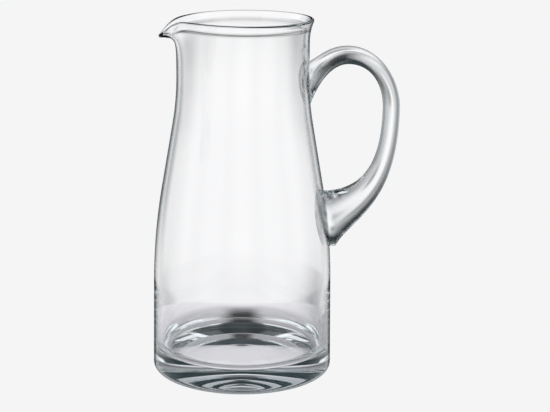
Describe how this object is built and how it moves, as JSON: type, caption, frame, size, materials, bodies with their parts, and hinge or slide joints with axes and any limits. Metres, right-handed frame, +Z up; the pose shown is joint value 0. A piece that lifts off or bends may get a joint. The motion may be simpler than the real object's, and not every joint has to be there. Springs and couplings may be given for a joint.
{
  "type": "beer pitcher",
  "caption": "Clear blown glass pitcher with a heavy round base, tapering shoulder, straight neck, flared rim, pulled pouring lip and an applied solid glass loop handle.",
  "frame": {"origin": "centre of the resting face, on the pitcher's axis, in the plane of the foot ring", "axes": "+Z up along the pitcher's axis, +X towards the handle, -X towards the pouring lip"},
  "size_m": [0.1654, 0.12, 0.2374],
  "materials": {
    "clear_glass": "fire-polished clear blown glass with a faint grey-green tint"
  },
  "bodies": {
    "root": {"pitcher_body": "clear_glass", "handle": "clear_glass"}
  },
  "joints": []
}
